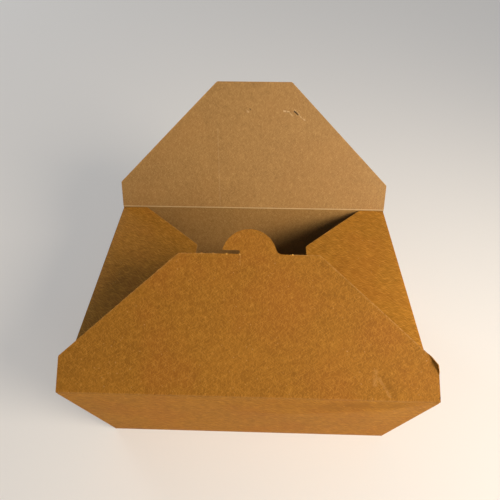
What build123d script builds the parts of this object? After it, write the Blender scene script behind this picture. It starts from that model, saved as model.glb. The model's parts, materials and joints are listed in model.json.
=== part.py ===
from build123d import *
import math
import os

# Takeaway box of brown card: one sheet, creased, folded up into a flared tray and glued at its
# corners. Its side flaps are folded in, and its two lid flaps stand open on their creases.
# Millimetres. The origin is the middle of the underside, with +X to the right, +Y to the back, +Z up.

# Board
board = 0.5  # thickness of the sheet
crease_radius = 0.4  # the rolled ridge that a crease leaves along a lid flap's root
crease_gap = 0.3  # between that ridge and the top of the wall below it

# Tray
base_width = 197.0
base_depth = 140.0
rim_height = 90.0  # height of the lid flaps' creases above the table
flare = 9.5  # how far each wall leans out between the table and the rim
corner_radius = 1.2  # outside of the folds at the four corners
base_fold_radius = 0.6  # outside of the folds round the base
web_foot = 3.0  # width of a corner web where it starts at the base
web_fold_radius = 0.4  # outside of a corner web's slanting fold
side_drop = 1.5  # the side walls stop this far below the lid flaps' creases
side_fold_radius = 0.45  # outside of the folds between the side walls and their flaps

# Flaps
shoulder = 20.0  # square stretch of each flap next to its crease
flap_corner_radius = 1.5
flap_end_gap = 0.6  # between a side flap's ends and the front and back walls
side_length = 66.5
side_end_width = 76.0
front_length = 80.5
front_end_width = 82.5
back_end_width = 57.0
back_margin = 20.0  # from the slit to the far edge of the back flap
front_rise = 36.0  # how far the front flap stands open, in degrees above level
back_lean = 30.5  # how far the back flap leans back, in degrees behind upright

# Lock: a round tab with a hook on the front flap, and a slit for it in the back flap
tab_radius = 16.2
tab_rise = 14.7  # how far the tab stands beyond the front flap's edge
tab_blend_radius = 4.0  # where the tab's plain side runs into the edge
hook_gap = 2.2  # height of the undercut below the hook
hook_root = -5.5  # how far in the undercut goes, from the middle of the flap
hook_tip_radius = 0.6
slit_width = 0.7
slit_play = 3.0  # from the hook's root to the start of the slit
slit_length = 33.0
slit_tick = (-1.7, 2.8)  # short turned-up start of the slit
slit_leg = (8.2, -7.0)  # slanting end of the slit
slit_bend_radius = 1.0

# Sizes that follow
lean = math.degrees(math.atan(flare / rim_height))
slant = math.hypot(flare, rim_height)  # height of a wall, measured along it
wall_across = board / math.cos(math.radians(lean))  # the sheet's thickness, measured level
web = 2 * board  # a corner web is folded double
rim_width = base_width + 2 * flare
rim_depth = base_depth + 2 * flare
wall_top = rim_height - crease_radius - crease_gap
side_top = rim_height - side_drop
hinge_y = rim_depth / 2 - wall_across / 2
slit_level = 2 * hinge_y - front_length - hook_gap / 2  # meets the hook when the box is shut
back_length = slit_level + back_margin

# A web is the corner of the sheet between two walls, folded in half along its middle line
wall_corner = 90 + math.degrees(math.atan(flare / slant))
web_fold_tilt = math.radians((360 - 90 - 2 * wall_corner) / 2 - (wall_corner - 90))

os.makedirs("parts", exist_ok=True)


def half_width_at(height):
    return base_width / 2 + flare * height / rim_height


def flared_block(width, depth, height, mode=Mode.ADD):
    # Rectangular block that stands on its smaller face, with every side leaning out like the walls
    spread = flare * height / rim_height
    return Wedge(
        width,
        height,
        depth,
        -spread,
        -spread,
        width + spread,
        depth + spread,
        rotation=(90, 0, 0),
        align=(Align.CENTER, Align.MIN, Align.CENTER),
        mode=mode,
    )


def side_plane(side):
    # Outer face of a side wall with its webs: x runs level, y runs up the wall, z points out
    tilt = math.radians(lean)
    return Plane(
        origin=(side * (base_width / 2 + web), 0, 0),
        x_dir=(0, side, 0),
        z_dir=(side * math.cos(tilt), 0, -math.sin(tilt)),
    )


def lid_plane(side, rise):
    # A lid flap's own plane: x runs along its crease, y runs away from the crease
    tilt = math.radians(rise)
    return Plane(
        origin=(0, side * hinge_y, rim_height),
        x_dir=(1, 0, 0),
        z_dir=(0, -math.sin(tilt), math.cos(tilt)),
    )


# Corner webs: the outside of the tray where its walls are wrapped in the doubled corners of the sheet
with BuildPart() as webs:
    flared_block(base_width + 2 * web, base_depth, wall_top)
    fillet(webs.edges().group_by(Axis.Z)[1], radius=corner_radius)
    fillet(webs.edges().group_by(Axis.Z)[0], radius=base_fold_radius)
    # The two webs of a side wall leave a triangle of it bare
    half_foot = base_depth / 2 - web_foot
    apex = half_foot / math.tan(web_fold_tilt)
    half_low = half_foot + web * math.tan(web_fold_tilt)
    for side in (-1, 1):
        with BuildSketch(side_plane(side)):
            with BuildLine():
                Polyline((0, apex), (-half_low, -web), (half_low, -web), close=True)
            make_face()
        extrude(amount=-web - corner_radius, mode=Mode.SUBTRACT)
        long_edges = webs.edges(Select.LAST).filter_by(lambda edge: edge.length > slant)
        folds = long_edges.sort_by(lambda edge: abs(edge.center().X))[-2:]
        fillet(folds, radius=web_fold_radius)

# Tray with its webs and its folded-in side flaps
with BuildPart() as tray:
    flared_block(base_width, base_depth, wall_top)
    fillet(tray.edges().group_by(Axis.Z)[1], radius=corner_radius)
    fillet(tray.edges().group_by(Axis.Z)[0], radius=base_fold_radius)
    add(webs.part)

    # Inside
    inset = wall_across - flare * board / rim_height
    with Locations((0, 0, board)):
        flared_block(base_width - 2 * inset, base_depth - 2 * inset, rim_height, mode=Mode.SUBTRACT)
    inner_corners = tray.edges(Select.LAST).group_by(Axis.Z)[1]
    fillet(inner_corners, radius=corner_radius - board)

    # The side walls stop lower, so that the side flaps lie under the lid flaps
    with BuildSketch(Plane.XY.offset(side_top)):
        Rectangle(rim_width + 4 * web, rim_depth - 2 * wall_across - 2 * flap_end_gap)
    extrude(amount=side_drop, mode=Mode.SUBTRACT)

    # Side flaps
    root = half_width_at(side_top)
    half_root = rim_depth / 2 - wall_across - flap_end_gap
    for side in (-1, 1):
        with BuildSketch(Plane.XY.offset(side_top)) as side_flap:
            with BuildLine():
                Polyline(
                    (side * root, -half_root),
                    (side * root, half_root),
                    (side * (root - shoulder), half_root),
                    (side * (root - side_length), side_end_width / 2),
                    (side * (root - side_length), -side_end_width / 2),
                    (side * (root - shoulder), -half_root),
                    close=True,
                )
            make_face()
            free_corners = side_flap.vertices().sort_by(lambda corner: abs(corner.X))[:4]
            fillet(free_corners, radius=flap_corner_radius)
        extrude(amount=board)
        top_edges = tray.edges(Select.LAST).group_by(Axis.Z)[-1]
        fold = top_edges.sort_by(lambda edge: abs(edge.center().X))[-1]
        fillet(fold, radius=side_fold_radius)
tray.part.label = "tray"
export_step(tray.part, "parts/tray.step")

# Front lid flap with its hooked tab
with BuildPart() as front_flap:
    with BuildSketch(lid_plane(-1, front_rise)) as outline:
        with BuildLine():
            Polyline(
                (-rim_width / 2, 0),
                (rim_width / 2, 0),
                (rim_width / 2, shoulder),
                (front_end_width / 2, front_length),
                (-front_end_width / 2, front_length),
                (-rim_width / 2, shoulder),
                close=True,
            )
        make_face()
        fillet(outline.vertices().sort_by(Axis.Y)[2:], radius=flap_corner_radius)
        with Locations((0, front_length + tab_rise - tab_radius)):
            Circle(tab_radius)
        plain_side = outline.vertices().sort_by_distance((tab_radius, front_length))[0]
        fillet(plain_side, radius=tab_blend_radius)
        undercut = tab_radius
        with Locations((hook_root - (hook_gap + undercut) / 2, front_length + hook_gap / 2)):
            SlotCenterToCenter(undercut, hook_gap, mode=Mode.SUBTRACT)
        hook_tip = outline.vertices().sort_by_distance((-tab_radius, front_length + hook_gap))[0]
        fillet(hook_tip, radius=hook_tip_radius)
    extrude(amount=board / 2, both=True)
    with BuildSketch(Plane.YZ):
        with Locations((-hinge_y, rim_height)):
            Circle(crease_radius)
    extrude(amount=rim_width / 2, both=True)
front_flap.part.label = "front_flap"
export_step(front_flap.part, "parts/front_flap.step")

# Back lid flap with the slit that takes the tab
with BuildPart() as back_flap:
    with BuildSketch(lid_plane(1, 90 - back_lean)) as outline:
        with BuildLine():
            Polyline(
                (-rim_width / 2, 0),
                (rim_width / 2, 0),
                (rim_width / 2, shoulder),
                (back_end_width / 2, back_length),
                (-back_end_width / 2, back_length),
                (-rim_width / 2, shoulder),
                close=True,
            )
        make_face()
        fillet(outline.vertices().sort_by(Axis.Y)[2:], radius=flap_corner_radius)
        start = Vector(hook_root + slit_play, slit_level)
        bend = start + Vector(slit_length, 0)
        with BuildLine():
            FilletPolyline(
                start + Vector(*slit_tick),
                start,
                bend,
                bend + Vector(*slit_leg),
                radius=slit_bend_radius,
            )
        trace(line_width=slit_width, mode=Mode.SUBTRACT)
    extrude(amount=board / 2, both=True)
    with BuildSketch(Plane.YZ):
        with Locations((hinge_y, rim_height)):
            Circle(crease_radius)
    extrude(amount=rim_width / 2, both=True)
back_flap.part.label = "back_flap"
export_step(back_flap.part, "parts/back_flap.step")
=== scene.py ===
import json
import math
import bmesh
import bpy
from mathutils import Matrix, Vector, noise


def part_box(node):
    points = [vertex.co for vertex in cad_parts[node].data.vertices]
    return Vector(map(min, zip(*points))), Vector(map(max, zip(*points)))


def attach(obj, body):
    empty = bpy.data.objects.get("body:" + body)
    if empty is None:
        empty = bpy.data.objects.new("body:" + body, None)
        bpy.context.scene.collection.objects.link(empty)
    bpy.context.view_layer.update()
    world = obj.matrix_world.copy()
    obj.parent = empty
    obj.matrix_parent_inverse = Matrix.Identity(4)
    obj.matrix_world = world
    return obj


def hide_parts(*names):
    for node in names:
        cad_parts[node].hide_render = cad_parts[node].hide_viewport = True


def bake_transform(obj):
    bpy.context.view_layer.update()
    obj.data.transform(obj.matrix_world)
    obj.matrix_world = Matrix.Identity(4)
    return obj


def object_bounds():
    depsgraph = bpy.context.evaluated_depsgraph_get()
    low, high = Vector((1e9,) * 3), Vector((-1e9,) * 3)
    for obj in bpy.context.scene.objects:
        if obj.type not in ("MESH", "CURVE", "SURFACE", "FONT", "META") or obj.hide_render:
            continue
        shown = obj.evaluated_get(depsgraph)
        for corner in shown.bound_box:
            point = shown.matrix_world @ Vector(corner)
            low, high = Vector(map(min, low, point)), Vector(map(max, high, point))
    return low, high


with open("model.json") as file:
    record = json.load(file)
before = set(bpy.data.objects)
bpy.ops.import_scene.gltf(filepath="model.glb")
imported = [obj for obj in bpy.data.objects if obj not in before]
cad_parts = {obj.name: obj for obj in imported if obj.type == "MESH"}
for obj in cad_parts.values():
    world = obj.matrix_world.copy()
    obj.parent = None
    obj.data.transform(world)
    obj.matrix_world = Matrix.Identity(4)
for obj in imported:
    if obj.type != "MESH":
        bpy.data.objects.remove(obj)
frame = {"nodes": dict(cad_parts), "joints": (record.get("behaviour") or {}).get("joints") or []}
cadBox = [list(corner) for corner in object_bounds()]
print("frame loaded:", ", ".join(sorted(frame["nodes"])))

mm = 0.001
board = 0.5 * mm  # thickness of the sheet
touch = 1e-6  # metres; points closer than this are one place

# The lid flaps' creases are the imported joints' own axes
hinges = {joint["child"]: Vector(joint["pos_m"]) for joint in frame["joints"]}
rimHeight = hinges["back_flap"].z
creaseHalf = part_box("front_flap")[1].x  # half the length of a crease


class Wire:
    # one socket of a shader tree; sums on it add Math nodes

    def __init__(self, tree, socket=None):
        self.tree = tree
        self.socket = socket

    def add(self, kind, settings=None, values=None, out=0):
        node = self.tree.nodes.new("ShaderNode" + kind)
        for name, value in (settings or {}).items():
            setattr(node, name, value)
        for place, value in (values or {}).items():
            if isinstance(value, Wire):
                self.tree.links.new(value.socket, node.inputs[place])
            else:
                node.inputs[place].default_value = value
        return Wire(self.tree, node.outputs[out] if node.outputs else None)

    def maths(self, operation, first, second):
        return self.add("Math", {"operation": operation}, {0: first, 1: second})

    def __add__(self, other):
        return self.maths("ADD", self, other)

    def __radd__(self, other):
        return self.maths("ADD", other, self)

    def __sub__(self, other):
        return self.maths("SUBTRACT", self, other)

    def __rsub__(self, other):
        return self.maths("SUBTRACT", other, self)

    def __mul__(self, other):
        return self.maths("MULTIPLY", self, other)

    def __rmul__(self, other):
        return self.maths("MULTIPLY", other, self)

    def between(self, low, high):
        # 0 at low, 1 at high, smooth on the way
        values = {"Value": self, "From Min": low, "From Max": high}
        return self.add("MapRange", {"interpolation_type": "SMOOTHSTEP"}, values)

    def blendTo(self, colour, share):
        # this colour, mixed with a share of another
        values = {0: share, 6: self, 7: colour}
        return self.add("Mix", {"data_type": "RGBA"}, values, out=2)


def noiseAt(spot, size, detail=2.0):
    # soft noise whose lumps are about this many metres across
    values = {"Vector": spot, "Scale": 1 / size, "Detail": detail, "Roughness": 0.55}
    return spot.add("TexNoise", {"noise_dimensions": "3D"}, values)


def lineAt(spot, start, end, width):
    # 1 on the straight line between two points of the piece, 0 at this width from it
    along = Vector(end) - Vector(start)
    offset = spot.add("VectorMath", {"operation": "SUBTRACT"}, {0: spot, 1: start})
    share = offset.add("VectorMath", {"operation": "DOT_PRODUCT"}, {0: offset, 1: along}, out="Value")
    clamped = {"operation": "MULTIPLY", "use_clamp": True}
    share = share.add("Math", clamped, {0: share, 1: 1 / along.length_squared})
    nearest = share.add("VectorMath", {"operation": "SCALE"}, {0: along, "Scale": share})
    gap = offset.add("VectorMath", {"operation": "DISTANCE"}, {0: offset, 1: nearest}, out="Value")
    return 1 - gap.between(0.25 * width, width)


def waver(spot, reach):
    # small wandering offset, so that lines drawn with it are not ruled straight
    values = {"Vector": spot, "Scale": 0.25 / reach, "Detail": 2.0}
    drift = spot.add("TexNoise", {"noise_dimensions": "3D"}, values, out="Color")
    drift = drift.add("VectorMath", {"operation": "SUBTRACT"}, {0: drift, 1: (0.5, 0.5, 0.5)})
    return drift.add("VectorMath", {"operation": "SCALE"}, {0: drift, "Scale": 2 * reach})


def cardFinish(name, look, lines=(), mirroredLines=()):
    # brown board: clouds, mottle and fibres between a deep and a pale tone, with specks, and marks of
    # wear, painted shade and painted highlight
    material = bpy.data.materials.new(name)
    material.use_nodes = True
    material.node_tree.nodes.clear()
    spot = Wire(material.node_tree).add("TexCoord", out="Object")
    sheet = spot.add("UVMap", {"uv_map": "sheet"})
    clouds = noiseAt(spot, look["cloudSize"])
    blotches = noiseAt(spot, look["blotchSize"])
    mottle = noiseAt(spot, look["mottleSize"], detail=3.0)
    fibres = hairs = 0
    for turn in look["fibreTurns"]:
        values = {"Vector": sheet, "Rotation": (0, 0, turn), "Scale": (look["fibreStretch"], 1, 1)}
        lay = sheet.add("Mapping", {"vector_type": "TEXTURE"}, values)
        strand = noiseAt(lay, look["fibreSize"])
        fibres = fibres + strand
        hairs = hairs + strand.between(*look["hairRange"])
    fibres = fibres * (1 / len(look["fibreTurns"]))
    tone = 0.5 + look["clouds"] * (clouds - 0.5)
    tone = tone + look["blotches"] * (blotches - 0.5)
    tone = tone + look["mottle"] * (mottle - 0.5)
    tone = tone + look["fibres"] * (fibres - 0.5)
    colour = tone.add("Mix", {"data_type": "RGBA"}, {0: tone, 6: look["deep"], 7: look["pale"]}, out=2)
    flush = noiseAt(spot, look["flushSize"]).between(*look["flushRange"])
    colour = colour.blendTo(look["flush"], flush * look["flushShare"])
    colour = colour.blendTo(look["hair"], hairs * look["hairShare"])
    for kind in ("speck", "fleck"):
        dots = noiseAt(spot, look[kind + "Size"], detail=0.0)
        colour = colour.blendTo(look[kind], dots.between(*look[kind + "Range"]) * look[kind + "Share"])
    for marks, mirrored in ((lines, False), (mirroredLines, True)):
        if not marks:
            continue
        place = spot.add("VectorMath", {"operation": "ABSOLUTE"}, {0: spot}) if mirrored else spot
        place = place.add("VectorMath", {"operation": "ADD"}, {0: place, 1: waver(spot, look["waver"])})
        ragged = mottle.between(*look["ragged"])
        for start, end, width, share, kind in marks:
            # dark marks (painted shadow) and bright marks are drawn crisp, without waver
            if kind in ("dark", "bright"):
                cover = lineAt(spot, start, end, width) * share
            else:
                cover = lineAt(place, start, end, width) * ragged * share
            colour = colour.blendTo(look[kind], cover)
    height = look["fibreRelief"] * fibres + look["mottleRelief"] * mottle
    values = {"Strength": look["bump"], "Distance": look["relief"], "Height": height}
    bump = height.add("Bump", None, values)
    values = {
        "Base Color": colour,
        "Roughness": look["roughness"] + look["roughnessDrift"] * (fibres - 0.5),
        "Specular IOR Level": look["gloss"],
        "Normal": bump,
    }
    shader = colour.add("BsdfPrincipled", None, values)
    shader.add("OutputMaterial", None, {"Surface": shader})
    return material


# the front flap's outside, the same card as the tray's outside (trayLook) in a darker copy: painted
# shade; the other looks start from it
outsideLook = {
    "deep": (0.186, 0.075, 0.006, 1),
    "pale": (0.346, 0.145, 0.014, 1),
    # pale wear along folds and edges, and a painted highlight on the slit's lips
    "wearAndHighlight": (0.560, 0.300, 0.095, 1),
    # near black painted shadow, for the slit's opening and the front crease's right end
    "dark": (0.020, 0.009, 0.004, 1),
    "bright": (0.700, 0.380, 0.080, 1),
    "clouds": 0.45,
    "cloudSize": 24 * mm,
    "blotches": 0.5,
    "blotchSize": 4.5 * mm,
    "mottle": 0.45,
    "mottleSize": 1.5 * mm,
    "fibres": 2.6,
    "fibreSize": 0.55 * mm,
    "fibreStretch": 7.5,
    "fibreTurns": (0.5, 1.05, 1.75, 2.45),
    "hair": (0.455, 0.205, 0.030, 1),
    "hairRange": (0.53, 0.72),
    "hairShare": 0.42,
    "flush": (0.276, 0.087, 0.011, 1),
    "flushSize": 38 * mm,
    "flushRange": (0.42, 0.68),
    "flushShare": 0.35,
    "speck": (0.62, 0.38, 0.15, 1),
    "speckSize": 1.0 * mm,
    "speckRange": (0.80, 0.87),
    "speckShare": 0.35,
    "fleck": (0.13, 0.055, 0.018, 1),
    "fleckSize": 0.9 * mm,
    "fleckRange": (0.80, 0.87),
    "fleckShare": 0.3,
    "waver": 0.5 * mm,
    "ragged": (0.30, 0.55),
    "roughness": 0.76,
    "roughnessDrift": 0.3,
    "gloss": 0.15,
    "bump": 0.35,
    "relief": 0.10 * mm,
    "fibreRelief": 0.6,
    "mottleRelief": 0.4,
}
insideLook = {
    **outsideLook,
    "deep": (0.222, 0.114, 0.031, 1),
    "pale": (0.428, 0.235, 0.071, 1),
    "wearAndHighlight": (0.620, 0.430, 0.220, 1),
    # painted highlight along the back crease
    "bright": (0.660, 0.480, 0.260, 1),
    "hair": (0.470, 0.275, 0.092, 1),
    "flush": (0.330, 0.165, 0.045, 1),
    "fibres": 2.2,
    "mottle": 0.5,
    "roughness": 0.62,
    "gloss": 0.32,
    "bump": 0.25,
}
trayLook = {
    **outsideLook,
    "deep": (0.255, 0.105, 0.009, 1),
    "pale": (0.470, 0.200, 0.020, 1),
    "hair": (0.590, 0.270, 0.040, 1),
    "hairShare": 0.46,
    "flush": (0.360, 0.118, 0.013, 1),
    "fibres": 3.6,
    "fibreTurns": (2.3, 2.65, 0.3),
    "fibreStretch": 10.0,
    "fibreSize": 0.65 * mm,
    "blotches": 0.6,
    "mottle": 0.8,
}
edgeLook = {
    **outsideLook,
    "deep": (0.290, 0.140, 0.036, 1),
    "pale": (0.600, 0.340, 0.115, 1),
    "mottleSize": 0.8 * mm,
    "mottle": 1.2,
    "fibreSize": 0.35 * mm,
    "roughness": 0.85,
    "gloss": 0.15,
}

outside = cardFinish("cardOutside", trayLook)
inside = cardFinish("cardInside", insideLook)
cutEdge = cardFinish("cardCutEdge", edgeLook)
print("card finishes made")


def cutAlong(bm, place, normal, faces=None, trim=False):
    # cuts faces along a plane, and with trim drops what lies on the normal's side
    chosen = bm.faces[:] if faces is None else faces
    edges = {edge for face in chosen for edge in face.edges}
    corners = {corner for face in chosen for corner in face.verts}
    bmesh.ops.bisect_plane(
        bm,
        geom=[*chosen, *edges, *corners],
        dist=1e-7,
        plane_co=place,
        plane_no=normal,
        clear_outer=trim,
    )


def cutGrid(bm, axis, low, high, cell, faces=None):
    # even cuts across an axis, no further apart than a cell
    count = math.ceil((high - low) / cell)
    for step in range(1, count):
        region = faces() if faces else None
        cutAlong(bm, Vector(axis) * (low + (high - low) * step / count), axis, region)


def roundCorners(bm, corners, size):
    bmesh.ops.bevel(
        bm, geom=corners, offset=size, affect="VERTICES", segments=3, profile=0.5, material=-1
    )


def roundFold(bm, edges, size, segments=3):
    bmesh.ops.bevel(
        bm, geom=edges, offset=size, affect="EDGES", segments=segments, profile=0.5, material=-1
    )


def smooth(value, low, high):
    share = min(1, max(0, (value - low) / (high - low)))
    return share * share * (3 - 2 * share)


def mapSheet(bm, planes):
    # flat places in metres, so that the fibres lie in the card; a plane is its two directions
    flat = bm.loops.layers.uv.new("sheet")
    for face in bm.faces:
        across, along = max(planes, key=lambda plane: plane[0].cross(plane[1]).dot(face.normal))
        for loop in face.loops:
            loop[flat].uv = (loop.vert.co.dot(across), loop.vert.co.dot(along))


def makePiece(bm, name, finishes, planes):
    # gives a sheet its thickness on the side away from its normals: face, back and cut edge
    mesh = bpy.data.meshes.new(name)
    bmesh.ops.triangulate(bm, faces=[face for face in bm.faces if len(face.verts) > 4])
    bm.normal_update()
    mapSheet(bm, planes)
    bm.to_mesh(mesh)
    bm.free()
    for finish in finishes:
        mesh.materials.append(finish)
    mesh.shade_smooth()
    piece = bpy.data.objects.new(name, mesh)
    bpy.context.scene.collection.objects.link(piece)
    solid = piece.modifiers.new("board", "SOLIDIFY")
    solid.thickness = board
    solid.offset = -1
    solid.use_even_offset = True
    solid.use_quality_normals = True
    solid.material_offset = 1
    solid.material_offset_rim = 2
    bpy.context.view_layer.update()
    graph = bpy.context.evaluated_depsgraph_get()
    solidified = piece.evaluated_get(graph)
    thick = bpy.data.meshes.new_from_object(solidified, preserve_all_data_layers=True, depsgraph=graph)
    piece.modifiers.clear()
    piece.data = thick
    bpy.data.meshes.remove(mesh)
    thick.name = name
    thick.set_sharp_from_angle(angle=math.radians(35))
    print(name, "made:", len(thick.polygons), "faces")
    return piece


# Tray: base, four flared walls and the side flaps, which are folded in level
trayShape = {
    "baseHalf": (98.5 * mm, 70.0 * mm),
    "flare": 9.5 * mm,
    "top": 89.0 * mm,  # upper face of the side flaps
    "baseFold": 0.8 * mm,
    "sideFold": 0.6 * mm,
    "rootHalf": 78.4 * mm,  # half the length of a side flap's crease
    "shoulder": 20.0 * mm,
    "length": 66.5 * mm,
    "endHalf": 38.0 * mm,
    "cornerRound": 0.6 * mm,
    "cell": 7.5 * mm,
    "rimCell": 1.5 * mm,  # height of the cells close under the rim
    "skin": 0.25 * mm,  # a corner this close to a wall's outside belongs to it
    "flapSkin": 0.1 * mm,
    "bow": 0.9 * mm,  # outward, in the middle of a side wall
    "wave": 0.35 * mm,
    "waveGrain": (16, 22),  # lumps in a metre, along the wall and up it
    "waveSeed": 3.1,
    "bulge": 1.9 * mm,  # outward, along a line from the front wall's right end
    # that line, in mm right of the middle and down from the crease
    "bulgeLine": ((107.5, 1.8), (86.4, 10.4), (50.7, 20.7), (26.5, 25.8), (-20.0, 31.0)),
    "bulgeStart": (-20 * mm, 30 * mm),  # it grows to its full height between these
    "bulgeFade": 30 * mm,  # and dies away over this much of the right end
    "bulgeEdge": 0.8 * mm,
    "bulgeClear": 0.06 * mm,  # kept free inside the CAD box
    "wrinkle": 0.12 * mm,
    "wrinkleReach": 12.0 * mm,  # below the front crease
    "wrinkleGrain": (45, 520),
    "wrinkleSeed": 7.3,
    "flapArch": 0.45 * mm,
    "flapSag": 0.5 * mm,  # at the free end
    "flapRipple": 0.3 * mm,
    "rippleGrain": 25,
    "rippleSeed": 5.5,
}


def wallHalf(height):
    # half the width and half the depth of the tray's outside at a height
    spread = trayShape["flare"] * height / rimHeight
    return trayShape["baseHalf"][0] + spread, trayShape["baseHalf"][1] + spread


def sideBow(y, z):
    # how far a side wall and its webs stand out of their plane
    half = wallHalf(z)[1]
    return trayShape["bow"] * math.sin(math.pi * z / rimHeight) * (1 - (y / half) ** 2)


def wallWave(x, z, seed):
    half = wallHalf(z)[0]
    window = math.sin(math.pi * z / rimHeight) * (1 - (x / half) ** 4)
    along, up = trayShape["waveGrain"]
    return trayShape["wave"] * window * noise.noise(Vector((x * along, z * up, seed)))


slant = math.hypot(trayShape["flare"], rimHeight)  # height of a wall, measured along it
wallLean = math.atan(trayShape["flare"] / rimHeight)


def onFrontWall(x, down):
    # a place on the front wall, measured in mm down from its crease
    height = rimHeight * (1 - down * mm / slant)
    return Vector((x * mm, -wallHalf(height)[1], height))


def frontBulge(x, z):
    # the front wall stands out along a bent line below its crease, right of the middle
    half = wallHalf(z)[0]
    down = (rimHeight - z) * slant / rimHeight
    line = trayShape["bulgeLine"]
    for (right, high), (left, low) in zip(line, line[1:]):
        if x > left * mm:
            break
    share = min(1, max(0, (right * mm - x) / ((right - left) * mm)))
    crest = (high + (low - high) * share) * mm
    height = down / crest if down < crest else (slant - down) / (slant - crest)
    grown = trayShape["bulge"] * height * smooth(x, *trayShape["bulgeStart"])
    return grown * smooth(half - x, 0, trayShape["bulgeFade"])


def cutBulge(bm):
    # edges along that line, and close above and below it
    line = [onFrontWall(*place) for place in trayShape["bulgeLine"]]

    def wallFaces(left, right):
        faces = []
        for face in bm.faces:
            if face.normal.y < -0.9 and left < face.calc_center_median().x < right:
                faces.append(face)
        return faces

    for point in line:
        cutAlong(bm, point, (1, 0, 0), wallFaces(-creaseHalf, creaseHalf))
    for right, left in zip(line, line[1:]):
        run = (left - right).normalized()
        across = run.cross((0, rimHeight, trayShape["flare"])).normalized()
        for shift in (-1, 0, 1):
            faces = wallFaces(left.x, right.x)
            cutAlong(bm, right + across * shift * trayShape["bulgeEdge"], across, faces)


def frontWrinkle(x, z):
    drop = rimHeight - trayShape["top"]
    reach = trayShape["wrinkleReach"]
    depth = rimHeight - z - drop
    if not 0 < depth < reach:
        return 0
    window = math.sin(math.pi * depth / reach) * (1 - (x / wallHalf(z)[0]) ** 6)
    along, up = trayShape["wrinkleGrain"]
    lumps = noise.noise(Vector((x * along, z * up, trayShape["wrinkleSeed"])))
    return trayShape["wrinkle"] * window * lumps


def makeTray():
    shape = trayShape
    bm = bmesh.new()
    bmesh.ops.create_cube(bm, size=1)
    for corner in bm.verts:
        height = shape["top"] if corner.co.z > 0 else 0
        x, y = wallHalf(height)
        corner.co = (math.copysign(x, corner.co.x), math.copysign(y, corner.co.y), height)
    bm.normal_update()
    bmesh.ops.delete(bm, geom=[face for face in bm.faces if face.normal.z > 0.9], context="FACES_ONLY")
    roundFold(bm, [edge for edge in bm.edges if all(v.co.z == 0 for v in edge.verts)], shape["baseFold"])
    # side flaps
    root = wallHalf(shape["top"])[0]
    for end in (-1, 1):
        walls = [face for face in bm.faces if abs(face.normal.x) > 0.9]
        cutAlong(bm, (0, end * shape["rootHalf"], 0), (0, 1, 0), walls)
    for side in (-1, 1):
        folds = []
        for edge in bm.edges:
            ends = [v.co for v in edge.verts]
            level = all(abs(p.z - shape["top"]) < touch and abs(p.x - side * root) < touch for p in ends)
            if level and all(abs(p.y) < shape["rootHalf"] + touch for p in ends):
                folds.append(edge)
        grown = bmesh.ops.extrude_edge_only(bm, edges=folds)["geom"]
        tips = [item for item in grown if isinstance(item, bmesh.types.BMVert)]
        bmesh.ops.translate(bm, verts=tips, vec=(-side * shape["length"], 0, 0))
        for end in (-1, 1):
            start = Vector((side * (root - shape["shoulder"]), end * shape["rootHalf"], 0))
            stop = Vector((side * (root - shape["length"]), end * shape["endHalf"], 0))
            run = stop - start
            normal = Vector((-side * abs(run.y), end * abs(run.x), 0))
            flap = []
            for face in bm.faces:
                middle = face.calc_center_median()
                if abs(face.normal.z) > 0.9 and middle.z > rimHeight / 2 and middle.x * side > 0:
                    flap.append(face)
            cutAlong(bm, start, normal, flap, trim=True)
    corners = []
    for corner in bm.verts:
        free = abs(corner.co.x) < root - shape["shoulder"] / 2
        if free and abs(corner.co.z - shape["top"]) < touch:
            corners.append(corner)
    roundCorners(bm, corners, shape["cornerRound"])
    creases = []
    for edge in bm.edges:
        level = all(abs(v.co.z - shape["top"]) < touch for v in edge.verts)
        if len(edge.link_faces) == 2 and level:
            if all(abs(abs(v.co.x) - root) < touch for v in edge.verts):
                creases.append(edge)
    roundFold(bm, creases, shape["sideFold"])
    bmesh.ops.recalc_face_normals(bm, faces=bm.faces[:])
    # cells, closer together under the rim
    low, high = -creaseHalf, creaseHalf
    cutGrid(bm, (1, 0, 0), low, high, shape["cell"])
    cutGrid(bm, (0, 1, 0), low, high, shape["cell"])
    cutGrid(bm, (0, 0, 1), 0, shape["top"], shape["cell"])
    cutGrid(bm, (0, 0, 1), shape["top"] - shape["wrinkleReach"], shape["top"], shape["rimCell"])
    cutBulge(bm)
    for corner in bm.verts:
        warpTray(corner)
    bm.normal_update()
    return bm


def warpTray(corner):
    # the walls bow, wave and bulge, and the side flaps are never quite flat
    shape = trayShape
    x, y, z = corner.co
    halfX, halfY = wallHalf(z)
    if z < shape["baseFold"]:
        return
    if abs(abs(y) - halfY) < shape["skin"]:
        out = wallWave(x, z, math.copysign(shape["waveSeed"], y))
        if y < 0:
            out += frontWrinkle(x, z) + frontBulge(x, z)
            out = min(out, -cadBox[0][1] - shape["bulgeClear"] - halfY)
        corner.co.y += out * math.copysign(1, y)
    elif abs(abs(x) - halfX) < shape["skin"]:
        corner.co.x += math.copysign(sideBow(y, z), x)
    elif z > shape["top"] - shape["flapSkin"]:
        reach = (halfX - abs(x)) / shape["length"]
        arch = shape["flapArch"] * math.sin(math.pi * min(1, reach)) - shape["flapSag"] * reach ** 2
        grain = shape["rippleGrain"]
        lumps = noise.noise(Vector((x * grain, y * grain, shape["rippleSeed"])))
        corner.co.z += arch + shape["flapRipple"] * reach * lumps


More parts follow.
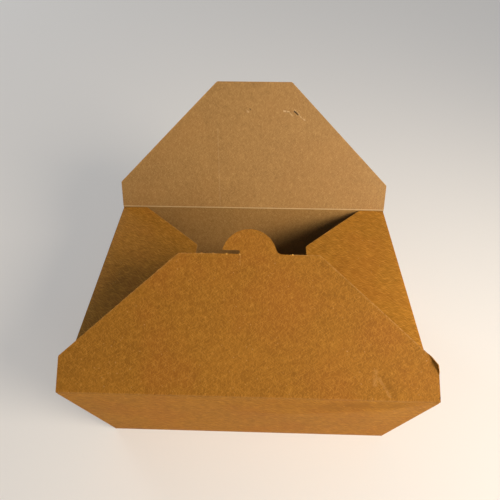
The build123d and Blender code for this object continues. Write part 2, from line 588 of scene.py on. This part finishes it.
baseX, baseY = wallHalf(0)
rimX, rimY = wallHalf(rimHeight)
trayFace = cardFinish(
    "trayFace",
    trayLook,
    lines=(
        # painted shade: darker bands along the front wall above the bulge line, and below it a painted
        # lighter band
        (onFrontWall(104, 2), onFrontWall(86.4, 6), 5 * mm, 0.3, "deep"),
        (onFrontWall(86.4, 5.5), onFrontWall(50, 11), 9 * mm, 0.35, "deep"),
        (onFrontWall(50, 10), onFrontWall(20, 13), 12 * mm, 0.25, "deep"),
        (onFrontWall(67, 6), onFrontWall(60, 7), 5 * mm, 0.4, "deep"),
        (onFrontWall(92, 14), onFrontWall(30, 31), 7 * mm, 0.25, "pale"),
    ),
    mirroredLines=(
        ((88 * mm, 78.4 * mm, 89 * mm), (41.4 * mm, 38 * mm, 89 * mm), 0.7 * mm, 0.4, "wearAndHighlight"),
        ((41.4 * mm, 38 * mm, 89 * mm), (41.4 * mm, 0, 89 * mm), 0.7 * mm, 0.4, "wearAndHighlight"),
        ((0, baseY, 0), (baseX, baseY, 0), 0.9 * mm, 0.4, "wearAndHighlight"),
        ((baseX, 0, 0), (baseX, baseY, 0), 0.9 * mm, 0.4, "wearAndHighlight"),
        ((baseX, baseY, 0), (rimX, rimY, rimHeight), 0.9 * mm, 0.35, "wearAndHighlight"),
    ),
)
# the card's two directions on each wall, on the base and on the side flaps
wallRise = rimHeight / slant
wallSpread = trayShape["flare"] / slant
toRight = Vector((1, 0, 0))
toBack = Vector((0, 1, 0))
trayPlanes = [
    (toRight, Vector((0, -wallSpread, wallRise))),
    (-toRight, Vector((0, wallSpread, wallRise))),
    (toBack, Vector((wallSpread, 0, wallRise))),
    (-toBack, Vector((-wallSpread, 0, wallRise))),
    (toRight, toBack),
    (toRight, -toBack),
]
tray = makePiece(makeTray(), "trayCard", [trayFace, inside, cutEdge], trayPlanes)
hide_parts("tray")
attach(tray, "tray")

# Corner webs: the corners of the sheet, folded double and laid on the outside of the side walls
webShape = {
    "foot": 67.0 * mm,  # from the middle of a side wall to a web's fold, at the base
    "apex": 103.0 * mm,  # where the two folds would meet, measured up the wall
    "top": 86.6 * mm,
    "thickness": 1.0 * mm,
    "cornerFold": 0.9 * mm,
    "edgeFold": 0.42 * mm,
    "cell": 9.0 * mm,
    "seat": 0.03 * mm,
    "lift": 0.05 * mm,  # of the lower edges, above the table
    "wornTop": 9.0 * mm,  # where the wear along a fold ends, from the middle of the wall
}


def makeWebs():
    shape = webShape
    topFold = shape["foot"] * (1 - shape["top"] * (slant / rimHeight) / shape["apex"])
    topX, topY = wallHalf(shape["top"])
    bm = bmesh.new()
    for side in (-1, 1):
        outward = Vector((side * math.cos(wallLean), 0, -math.sin(wallLean)))
        for end in (-1, 1):
            outline = (
                (side * baseX, end * shape["foot"], 0),
                (side * baseX, end * baseY, 0),
                (side * topX, end * topY, shape["top"]),
                (side * topX, end * topFold, shape["top"]),
            )
            web = bmesh.new()
            seated = [web.verts.new(Vector(point) + outward * shape["seat"]) for point in outline]
            face = web.faces.new(seated)
            grown = bmesh.ops.extrude_face_region(web, geom=[face])["geom"]
            outer = [item for item in grown if isinstance(item, bmesh.types.BMVert)]
            bmesh.ops.translate(web, verts=outer, vec=outward * (shape["thickness"] - shape["seat"]))
            bmesh.ops.recalc_face_normals(web, faces=web.faces[:])
            ends = [face for face in web.faces if abs(face.normal.z) > 0.9]
            bmesh.ops.delete(web, geom=ends, context="FACES_ONLY")
            folds, corner = [], []
            for edge in web.edges:
                run = edge.verts[0].co - edge.verts[1].co
                if abs(run.z) < shape["top"] / 2:
                    continue
                if abs(run.y) > abs(run.z) / 3:
                    folds.append(edge)
                elif all(v in outer for v in edge.verts):
                    corner.append(edge)
            roundFold(web, folds, shape["edgeFold"])
            roundFold(web, corner, shape["cornerFold"], 4)
            mesh = bpy.data.meshes.new("web")
            web.to_mesh(mesh)
            web.free()
            bm.from_mesh(mesh)
            bpy.data.meshes.remove(mesh)
    cutAlong(bm, (0, 0, shape["lift"]), (0, 0, -1), trim=True)
    cutGrid(bm, (0, 1, 0), -creaseHalf, creaseHalf, shape["cell"])
    cutGrid(bm, (0, 0, 1), 0, shape["top"], shape["cell"])
    for corner in bm.verts:
        corner.co.x += math.copysign(sideBow(corner.co.y, max(0, corner.co.z)), corner.co.x)
    bm.normal_update()
    return bm


lowX = baseX + webShape["thickness"]
highX = rimX + webShape["thickness"]
foldFoot = (lowX, webShape["foot"], 0)
foldTop = (highX, webShape["wornTop"], rimHeight)
webFace = cardFinish(
    "webFace",
    trayLook,
    mirroredLines=(
        ((lowX, baseY, 0), (highX, rimY, rimHeight), 0.9 * mm, 0.4, "wearAndHighlight"),
        (foldFoot, foldTop, 0.9 * mm, 0.35, "wearAndHighlight"),
    ),
)
# the webs' cut edges take the face colour rather than the paler cut edge: painted shade
webs = makePiece(makeWebs(), "cornerWebs", [webFace, inside, webFace], trayPlanes)
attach(webs, "tray")


# Lid flaps, drawn flat: x runs along the crease, y away from it, and z is the upper face's normal
def drawLine(bm, last, point):
    corner = bm.verts.new((*point, 0))
    if last:
        bm.edges.new((last, corner))
    return corner


def drawArc(bm, last, centre, turn, steps):
    done = bmesh.ops.spin(
        bm, geom=[last], cent=(*centre, 0), axis=(0, 0, 1), angle=turn, steps=steps
    )
    return next(item for item in done["geom_last"] if isinstance(item, bmesh.types.BMVert))


def drawNick(bm, last, place, along, size):
    # a little torn nub that the cutting rule leaves on an edge, wider than it is high
    run = Vector(along).normalized() * size
    side = Vector((run.y, -run.x)) * 0.8
    for step in (-run, side, run):
        last = drawLine(bm, last, Vector(place) + step)
    return last


def fillOutline(bm, first, last):
    bm.edges.new((last, first))
    face = bmesh.ops.contextual_create(bm, geom=bm.edges[:])["faces"][0]
    bm.normal_update()
    if face.normal.z < 0:
        bmesh.ops.reverse_faces(bm, faces=[face])


def flapPlace(hinge, rise):
    # from a flat flap to its place at rest, with its upper face half the board above the crease's axis
    turn = Matrix.Rotation(rise, 4, "X")
    return Matrix.Translation(hinge) @ turn @ Matrix.Translation((0, 0, board / 2))


flapShape = {
    "start": 1.5 * mm,  # the crease's own strip ends here
    "shoulder": 20.0 * mm,
    "cornerRound": 0.6 * mm,
    "cell": 4.0 * mm,
    "waveGrain": (14, 18),  # lumps in a metre, along the crease and away from it
}
frontShape = {
    "rise": math.radians(36),
    "length": 80.5 * mm,
    "endHalf": 41.25 * mm,
    "tabRadius": 16.2 * mm,
    "tabRise": 14.7 * mm,
    "tabBlend": 4.0 * mm,
    "hookGap": 2.2 * mm,
    "hookRoot": -5.5 * mm,
    "hookTip": 0.6 * mm,
    "nickSize": 0.8 * mm,
    "nicksRight": (25.3 * mm,),
    "nicksLeft": (-13.1 * mm, -20.9 * mm, -27.8 * mm),
    "nicksSlant": (0.08, 0.17),  # shares of the left slanting edge
    "arch": 1.2 * mm,
    "wave": 0.3 * mm,
    "seed": 1.7,
    "rightShoulder": (107.5 * mm, 21.0 * mm),
    "curlFrom": (101.9 * mm, 26.4 * mm),  # the turned-up right corner lies beyond this line
    "curlTo": (107.9 * mm, 14.4 * mm),
    "curlTurn": math.radians(66),
    "curlRound": 1.0 * mm,
    "curlCuts": 5,
    "curlFaces": (92 * mm, 36 * mm),  # only what lies right of and below these is cut
    "curlCorners": (90 * mm, 40 * mm),  # and turned up
}


def drawFrontFlap():
    shape = frontShape
    length, endHalf = shape["length"], shape["endHalf"]
    bm = bmesh.new()
    first = drawLine(bm, None, (-creaseHalf, flapShape["start"]))
    last = drawLine(bm, first, (creaseHalf, flapShape["start"]))
    last = drawLine(bm, last, shape["rightShoulder"])
    last = drawLine(bm, last, (endHalf, length))
    for x in shape["nicksRight"]:
        last = drawNick(bm, last, (x, length), (-1, 0), shape["nickSize"])
    # tab: blend, round and hook
    centre = Vector((0, length + shape["tabRise"] - shape["tabRadius"]))
    reach = shape["tabRadius"] + shape["tabBlend"]
    blendRise = length + shape["tabBlend"] - centre.y
    blendX = math.sqrt(reach ** 2 - blendRise ** 2)
    lean = math.atan2(blendRise, blendX)
    last = drawLine(bm, last, (blendX, length))
    last = drawArc(bm, last, (blendX, length + shape["tabBlend"]), lean - math.pi / 2, 7)
    hookLean = math.asin((length + shape["hookGap"] - centre.y) / shape["tabRadius"])
    tip = last = drawArc(bm, last, centre, math.pi - hookLean - lean, 30)
    slotRadius = shape["hookGap"] / 2
    slotX = shape["hookRoot"] - slotRadius
    last = drawLine(bm, last, (slotX, length + shape["hookGap"]))
    last = drawArc(bm, last, (slotX, length + slotRadius), -math.pi, 8)
    for x in shape["nicksLeft"]:
        last = drawNick(bm, last, (x, length), (-1, 0), shape["nickSize"])
    left = Vector((-endHalf, length))
    low = Vector((-creaseHalf, flapShape["shoulder"]))
    last = drawLine(bm, last, left)
    for share in shape["nicksSlant"]:
        last = drawNick(bm, last, left.lerp(low, share), low - left, shape["nickSize"])
    last = drawLine(bm, last, low)
    fillOutline(bm, first, last)
    corners = []
    for place in (shape["rightShoulder"], (creaseHalf, flapShape["shoulder"]), (endHalf, length)):
        for corner in bm.verts:
            if (Vector((abs(corner.co.x), corner.co.y)) - Vector(place)).length < touch:
                corners.append(corner)
    roundCorners(bm, corners, flapShape["cornerRound"])
    roundCorners(bm, [tip], shape["hookTip"])
    return bm


def curlCorner(bm):
    # turns up the corner beyond the curl line, on a small radius
    shape = frontShape
    start = Vector((*shape["curlFrom"], 0))
    run = Vector((*shape["curlTo"], 0)) - start
    outward = Vector((-run.y, run.x, 0)).normalized()
    radius = shape["curlRound"]
    left, top = shape["curlFaces"]
    for step in range(shape["curlCuts"] + 1):
        near = []
        for face in bm.faces:
            middle = face.calc_center_median()
            if middle.x > left and middle.y < top:
                near.append(face)
        share = step / shape["curlCuts"] - 0.5
        cutAlong(bm, start + outward * radius * shape["curlTurn"] * share, outward, near)
    left, top = shape["curlCorners"]
    for corner in bm.verts:
        beyond = (corner.co - start).dot(outward) + radius * shape["curlTurn"] / 2
        if beyond <= 0 or corner.co.x < left or corner.co.y > top:
            continue
        turn = min(beyond / radius, shape["curlTurn"])
        past = beyond - turn * radius
        flat = radius * math.sin(turn) + past * math.cos(turn)
        lift = radius * (1 - math.cos(turn)) + past * math.sin(turn)
        corner.co += outward * (flat - beyond) + Vector((0, 0, lift))


def archAt(shape, x, y):
    # a flap is never quite flat, but it stays straight along its crease and at its end
    along = min(1, max(0, (y - flapShape["start"]) / (shape["length"] - flapShape["start"])))
    arch = shape["arch"] * (1 - (x / creaseHalf) ** 2)
    across, away = flapShape["waveGrain"]
    wave = shape["wave"] * noise.noise(Vector((x * across, y * away, shape["seed"])))
    return math.sin(math.pi * along) * (arch + wave)


def archFlap(bm, shape):
    for corner in bm.verts:
        corner.co.z += archAt(shape, corner.co.x, corner.co.y)


def edgeMarks(onFlap, start, end, count, *mark):
    # a mark along an edge, in short runs that follow the flap's arch
    points = [Vector(start).lerp(Vector(end), step / count) for step in range(count + 1)]
    return [(onFlap(*low), onFlap(*high), *mark) for low, high in zip(points, points[1:])]


frontFlap = drawFrontFlap()
cutGrid(frontFlap, (1, 0, 0), -creaseHalf, creaseHalf, flapShape["cell"])
cutGrid(frontFlap, (0, 1, 0), flapShape["start"], frontShape["length"], flapShape["cell"])
curlCorner(frontFlap)
archFlap(frontFlap, frontShape)
frontPlace = flapPlace(hinges["front_flap"], frontShape["rise"])
bmesh.ops.transform(frontFlap, matrix=frontPlace, verts=frontFlap.verts[:])
frontFlap.normal_update()


def onFront(x, y):
    return tuple(frontPlace @ Vector((x * mm, y * mm, archAt(frontShape, x * mm, y * mm))))


frontFace = cardFinish(
    "frontFlapFace",
    outsideLook,
    lines=(
        (onFront(72.2, 15.3), onFront(71.8, 8.8), 2.2 * mm, 0.22, "wearAndHighlight"),
        (onFront(74.4, 11.5), onFront(80.5, 1.5), 1.3 * mm, 0.26, "wearAndHighlight"),
        (onFront(77.4, 10.5), onFront(82.5, 3.0), 3.2 * mm, 0.4, "deep"),
        (onFront(-5.3, 80.0), onFront(-5.2, 74.0), 0.5 * mm, 0.25, "wearAndHighlight"),
        (onFront(-5.6, 80.3), onFront(-5.4, 80.0), 0.7 * mm, 0.6, "bright"),
        (onFront(-13.1, 80.2), onFront(-13.3, 80.8), 0.7 * mm, 0.6, "bright"),
        (onFront(25.3, 80.3), onFront(25.1, 81.1), 0.7 * mm, 0.6, "bright"),
        # painted shade: a near black spot at the right end of the crease
        (onFront(107.6, 1.2), onFront(107.9, 2.4), 0.8 * mm, 0.8, "dark"),
        *edgeMarks(onFront, (101, 26.4), (41.25, 80.5), 4, 0.6 * mm, 0.35, "wearAndHighlight"),
        *edgeMarks(onFront, (-107, 21), (-41.25, 80.5), 4, 0.6 * mm, 0.3, "wearAndHighlight"),
        (onFront(-41.25, 80.5), onFront(-18, 80.5), 0.5 * mm, 0.4, "wearAndHighlight"),
        (onFront(22, 80.5), onFront(41.25, 80.5), 0.5 * mm, 0.4, "wearAndHighlight"),
    ),
)
frontPlane = (toRight, frontPlace.to_3x3() @ toBack)
frontFlapPiece = makePiece(frontFlap, "frontFlapCard", [frontFace, inside, cutEdge], [frontPlane])
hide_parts("front_flap")
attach(frontFlapPiece, "front_flap")

backShape = {
    "rise": math.radians(90 - 30.5),
    "length": 96.88 * mm,
    "endHalf": 28.5 * mm,
    "slitLevel": 76.9 * mm,
    "slitStart": -2.5 * mm,
    "slitBend": 30.5 * mm,
    "tick": (-1.7 * mm, 2.8 * mm),
    "leg": (8.2 * mm, -7.0 * mm),
    "fineCell": 1.3 * mm,
    "fineReach": (-14 * mm, 12 * mm, -12 * mm, 6 * mm),  # left, right, below and above the bend
    "lipLift": 0.5 * mm,  # of the lower lip, just before the bend
    "liftFrom": (9 * mm, 3 * mm),  # before the bend, it grows between these
    "liftEnd": 2 * mm,
    "lipRaise": 0.15 * mm,  # of the upper lip, on the slanting end
    "lipDrop": 0.6 * mm,  # of the lower lip behind the upper one, on the slanting end
    "dropFrom": (0, 0.15),  # shares of the slanting end
    "dropEnd": (0.4, 0.7),
    "upperWay": (0.4, 1, 0),  # from the slit towards its upper lip
    "hairline": 0.003 * mm,
    "arch": 0.5 * mm,
    "wave": 0.3 * mm,
    "seed": 9.2,
}


def drawBackFlap():
    shape = backShape
    bm = bmesh.new()
    half, start, shoulder = creaseHalf, flapShape["start"], flapShape["shoulder"]
    end, length = shape["endHalf"], shape["length"]
    first = last = drawLine(bm, None, (-half, start))
    for point in ((half, start), (half, shoulder), (end, length), (-end, length), (-half, shoulder)):
        last = drawLine(bm, last, point)
    fillOutline(bm, first, last)
    roundCorners(bm, [v for v in bm.verts if v.co.y > start + 1 * mm], flapShape["cornerRound"])
    return bm


def slitPath():
    shape = backShape
    start = Vector((shape["slitStart"], shape["slitLevel"], 0))
    bend = Vector((shape["slitBend"], shape["slitLevel"], 0))
    return [start + Vector((*shape["tick"], 0)), start, bend, bend + Vector((*shape["leg"], 0))]


def offRun(point, start, end):
    # how far a point lies from a straight run, and how far along the run it is
    run = end - start
    share = min(1, max(0, (point - start).dot(run) / run.length_squared))
    return (point - start - run * share).length, share * run.length


def cutSlit(bm):
    shape = backShape
    path = slitPath()
    bend, tail = path[2:]
    left, right, low, high = shape["fineReach"]
    for point in path:
        cutAlong(bm, point, (1, 0, 0))
        cutAlong(bm, point, (0, 1, 0))

    def nearBend():
        faces = []
        for face in bm.faces:
            middle = face.calc_center_median() - bend
            if left < middle.x < right and low < middle.y < high:
                faces.append(face)
        return faces

    cutGrid(bm, (1, 0, 0), bend.x + left, bend.x, shape["fineCell"], nearBend)
    cutGrid(bm, (1, 0, 0), bend.x, tail.x, shape["fineCell"], nearBend)
    cutGrid(bm, (0, 1, 0), tail.y, bend.y, shape["fineCell"], nearBend)
    # the short slanting ends cross only the faces in their own boxes
    for start, end in ((path[0], path[1]), (bend, tail)):
        run = end - start
        crossed = []
        for face in bm.faces:
            share = face.calc_center_median() - start
            if 0 < share.x / run.x < 1 and 0 < share.y / run.y < 1:
                crossed.append(face)
        cutAlong(bm, start, (-run.y, run.x, 0), crossed)
    slit = []
    for edge in bm.edges:
        ends = [v.co for v in edge.verts]
        middle = (ends[0] + ends[1]) / 2
        for start, end in zip(path, path[1:]):
            if all(offRun(point, start, end)[0] < touch for point in (*ends, middle)):
                slit.append(edge)
                break
    bmesh.ops.split_edges(bm, edges=slit)
    return path


def openSlit(bm, path):
    # the lips stand a hair apart, and the lower one is bent forward before the bend
    shape = backShape
    bend, tail = path[2:]
    leg = tail - bend
    across = Vector((-leg.y, leg.x, 0)).normalized()
    first, last = shape["liftFrom"]
    for corner in bm.verts:
        faces = corner.link_faces
        gaps = [offRun(corner.co, start, end) for start, end in zip(path, path[1:])]
        if not faces or min(gap for gap, along in gaps) > touch or corner.co in (path[0], tail):
            continue
        middle = sum((face.calc_center_median() for face in faces), Vector()) / len(faces)
        upper = 1 if (middle - corner.co).dot(Vector(shape["upperWay"])) > 0 else -1
        gap, along = gaps[2]
        if gap < touch:
            share = along / leg.length
            corner.co += across * upper * shape["hairline"]
            window = smooth(share, *shape["dropFrom"]) * (1 - smooth(share, *shape["dropEnd"]))
            corner.co.z += (shape["lipRaise"] if upper > 0 else -shape["lipDrop"]) * window
        else:
            grown = smooth(corner.co.x, bend.x - first, bend.x - last)
            left = 1 - smooth(corner.co.x, bend.x - shape["liftEnd"], bend.x)
            corner.co.y += upper * shape["hairline"]
            if upper < 0:
                corner.co.z += shape["lipLift"] * grown * left


backFlap = drawBackFlap()
cutGrid(backFlap, (1, 0, 0), -creaseHalf, creaseHalf, flapShape["cell"])
cutGrid(backFlap, (0, 1, 0), flapShape["start"], backShape["length"], flapShape["cell"])
openSlit(backFlap, cutSlit(backFlap))
archFlap(backFlap, backShape)
backPlace = flapPlace(hinges["back_flap"], backShape["rise"])
bmesh.ops.transform(backFlap, matrix=backPlace, verts=backFlap.verts[:])
backFlap.normal_update()


def onBack(x, y):
    return tuple(backPlace @ Vector((x * mm, y * mm, archAt(backShape, x * mm, y * mm))))


backFace = cardFinish(
    "backFlapFace",
    insideLook,
    lines=(
        *edgeMarks(onBack, (-27.0, 2.0), (-28.2, 62.0), 3, 0.7 * mm, 0.14, "wearAndHighlight"),
        # at the slit: near black painted shadow in its opening, and lighter marks on its lifted lips,
        # partly wear and partly painted highlight
        (onBack(-5.2, 75.9), onBack(-4.4, 75.1), 0.9 * mm, 0.6, "wearAndHighlight"),
        (onBack(-3.3, 77.5), onBack(-2.7, 76.7), 0.6 * mm, 0.7, "dark"),
        (onBack(23.1, 76.2), onBack(27.0, 75.7), 0.9 * mm, 0.8, "wearAndHighlight"),
        (onBack(27.0, 75.5), onBack(29.6, 72.9), 0.6 * mm, 0.5, "wearAndHighlight"),
        (onBack(31.2, 77.0), onBack(34.8, 74.0), 0.7 * mm, 0.4, "wearAndHighlight"),
        (onBack(31.2, 75.9), onBack(34.0, 73.5), 0.75 * mm, 1.0, "dark"),
        (onBack(34.8, 73.2), onBack(38.7, 69.9), 0.6 * mm, 0.6, "wearAndHighlight"),
        (onBack(39.2, 69.5), onBack(39.8, 69.0), 0.9 * mm, 0.7, "wearAndHighlight"),
        *edgeMarks(onBack, (-108, 20), (-28.5, 96.9), 3, 0.6 * mm, 0.4, "wearAndHighlight"),
        *edgeMarks(onBack, (108, 20), (28.5, 96.9), 3, 0.6 * mm, 0.4, "wearAndHighlight"),
    ),
)
backPlane = (toRight, backPlace.to_3x3() @ toBack)
backFlapPiece = makePiece(backFlap, "backFlapCard", [backFace, outside, cutEdge], [backPlane])
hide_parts("back_flap")
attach(backFlapPiece, "back_flap")

# Creases: the narrow bends of the sheet between a wall and its lid flap
creaseShape = {"round": 0.45 * mm, "cell": 4.0 * mm, "uneven": 0.05 * mm, "grain": 120}


def makeCrease(name, body, rise, finishes):
    hinge = hinges[body]
    facing = math.copysign(1, hinge.y)  # which way the wall faces
    wallUp = Vector((0, facing * math.sin(wallLean), math.cos(wallLean)))
    wallOut = Vector((0, facing * math.cos(wallLean), -math.sin(wallLean)))
    flapUp = Vector((0, math.cos(rise), math.sin(rise)))
    flapOut = Vector((0, facing * math.sin(rise), -facing * math.cos(rise)))
    half = board / 2
    wallTop = hinge + wallOut * half
    drop = (wallTop.z - trayShape["top"]) / wallUp.z
    section = (
        wallTop - wallUp * drop,
        hinge + (wallOut + flapOut) * half / (1 + wallOut.dot(flapOut)),
        hinge + flapOut * half + flapUp * flapShape["start"],
    )
    bm = bmesh.new()
    line = [bm.verts.new(point - Vector((creaseHalf, 0, 0))) for point in section]
    edges = [bm.edges.new(pair) for pair in zip(line, line[1:])]
    grown = bmesh.ops.extrude_edge_only(bm, edges=edges)["geom"]
    ends = [item for item in grown if isinstance(item, bmesh.types.BMVert)]
    bmesh.ops.translate(bm, verts=ends, vec=(2 * creaseHalf, 0, 0))
    roundFold(bm, [edge for edge in bm.edges if len(edge.link_faces) == 2], creaseShape["round"], 4)
    bm.normal_update()
    if sum(face.normal.dot(wallOut) for face in bm.faces) < 0:
        bmesh.ops.reverse_faces(bm, faces=bm.faces[:])
    cutGrid(bm, (1, 0, 0), -creaseHalf, creaseHalf, creaseShape["cell"])
    for corner in bm.verts:
        if not corner.is_boundary:
            shake = noise.noise(corner.co * creaseShape["grain"]) * creaseShape["uneven"]
            corner.co += (wallOut + flapOut).normalized() * shake
    bm.normal_update()
    strip = makePiece(bm, name, finishes, [(toRight, wallUp)])
    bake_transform(strip)


def alongCrease(body, y, z):
    # the two ends of a line along a crease, offset from its axis
    middle = hinges[body] + Vector((0, y, z))
    return tuple(tuple(middle + Vector((end * creaseHalf, 0, 0))) for end in (-1, 1))


frontWear = (*alongCrease("front_flap", -0.2 * mm, 0.1 * mm), 0.6 * mm, 0.2, "wearAndHighlight")
# painted highlight: a bright line along the back crease's bend
backCreaseHighlight = (*alongCrease("back_flap", -0.25 * mm, 0.05 * mm), 0.6 * mm, 0.7, "bright")
frontCreaseFace = cardFinish("frontCreaseFace", outsideLook, lines=(frontWear,))
backCreaseFace = cardFinish("backCreaseFace", insideLook, lines=(backCreaseHighlight,))
makeCrease("frontCrease", "front_flap", frontShape["rise"], [frontCreaseFace, inside, cutEdge])
makeCrease("backCrease", "back_flap", backShape["rise"], [outside, backCreaseFace, cutEdge])

# Floor, light and camera
stageLook = {
    "floorHalf": 12.0,
    "floor": (0.79, 0.77, 0.74, 1),
    "floorRoughness": 0.9,
    "sky": (0.82, 0.90, 1.0, 1),
    "skyStrength": 0.25,
    "glow": (1.0, 0.94, 0.88, 1),  # mixed into what the camera sees of the floor
    "glowShare": 0.30,
    "beyond": (0.42, 0.41, 0.40, 1),  # what the camera sees past the floor
    "warm": (1.0, 0.87, 0.71),
    "cool": (0.86, 0.93, 1.0),
    "lampAim": (0.0, 0.0, 0.07),
    "lamps": {
        "keyLamp": {
            "place": (0.95, -1.02, 0.44),
            "size": 0.7,
            "spread": 80,  # degrees
            "power": 1.3,
            "tint": "warm",
        },
        "sideLamp": {
            "place": (0.50, -0.28, 0.46),
            "size": 0.35,
            "spread": 120,
            "power": 2.5,
            "tint": "warm",
        },
        "fillLamp": {
            "place": (-2.2, 2.2, 0.66),
            "size": 1.2,
            "spread": 70,
            "power": 4.8,
            "tint": "cool",
        },
    },
}


def seenRays(tree):
    # 1 where the camera looks, also by way of a shiny or a clear surface
    rays = Wire(tree)
    seen = rays.add("LightPath", out="Is Camera Ray")
    for kind in ("Is Glossy Ray", "Is Transmission Ray"):
        seen = seen + rays.add("LightPath", out=kind)
    return seen


def makeFloor():
    bm = bmesh.new()
    bmesh.ops.create_grid(bm, x_segments=1, y_segments=1, size=stageLook["floorHalf"])
    mesh = bpy.data.meshes.new("floor")
    bm.to_mesh(mesh)
    bm.free()
    floor = bpy.data.objects.new("floor", mesh)
    bpy.context.scene.collection.objects.link(floor)
    pale = bpy.data.materials.new("paleFloor")
    pale.use_nodes = True
    pale.node_tree.nodes.clear()
    seen = seenRays(pale.node_tree)
    values = {"Base Color": stageLook["floor"], "Roughness": stageLook["floorRoughness"]}
    matt = seen.add("BsdfPrincipled", None, values)
    glow = seen.add("Emission", None, {"Color": stageLook["glow"], "Strength": 1.0})
    shown = seen.add("MixShader", None, {0: seen * stageLook["glowShare"], 1: matt, 2: glow})
    shown.add("OutputMaterial", None, {"Surface": shown})
    mesh.materials.append(pale)


def makeWorld():
    world = bpy.context.scene.world or bpy.data.worlds.new("world")
    bpy.context.scene.world = world
    world.use_nodes = True
    world.node_tree.nodes.clear()
    seen = seenRays(world.node_tree)
    sky = seen.add("Background", None, {"Color": stageLook["sky"], "Strength": stageLook["skyStrength"]})
    beyond = seen.add("Background", None, {"Color": stageLook["beyond"], "Strength": 1.0})
    shown = seen.add("MixShader", None, {0: seen, 1: sky, 2: beyond})
    shown.add("OutputWorld", None, {"Surface": shown})


def makeLamps():
    for name, setup in stageLook["lamps"].items():
        lamp = bpy.data.lights.new(name, "AREA")
        lamp.shape = "DISK"
        lamp.size = setup["size"]
        lamp.energy = setup["power"]
        lamp.spread = math.radians(setup["spread"])
        lamp.color = stageLook[setup["tint"]]
        stand = bpy.data.objects.new(name, lamp)
        stand.location = setup["place"]
        aim = Vector(stageLook["lampAim"]) - stand.location
        stand.rotation_euler = aim.to_track_quat("-Z", "Y").to_euler()
        bpy.context.scene.collection.objects.link(stand)


cameraSetup = {
    "place": (4.956 * mm, -166.477 * mm, 309.128 * mm),
    "turn": (42.1705, 0.1186, 1.5761),
    "lens": 28.375,
    "sensor": 36,
    "clipStart": 0.01,
}


def makeCamera():
    camera = bpy.data.cameras.new("camera")
    camera.lens = cameraSetup["lens"]
    camera.sensor_width = cameraSetup["sensor"]
    camera.clip_start = cameraSetup["clipStart"]
    stand = bpy.data.objects.new("camera", camera)
    stand.location = cameraSetup["place"]
    stand.rotation_euler = [math.radians(angle) for angle in cameraSetup["turn"]]
    bpy.context.scene.collection.objects.link(stand)
    bpy.context.scene.camera = stand


makeFloor()
makeWorld()
makeLamps()
makeCamera()
bpy.context.scene.view_settings.view_transform = "Standard"
print("floor, light and camera made")
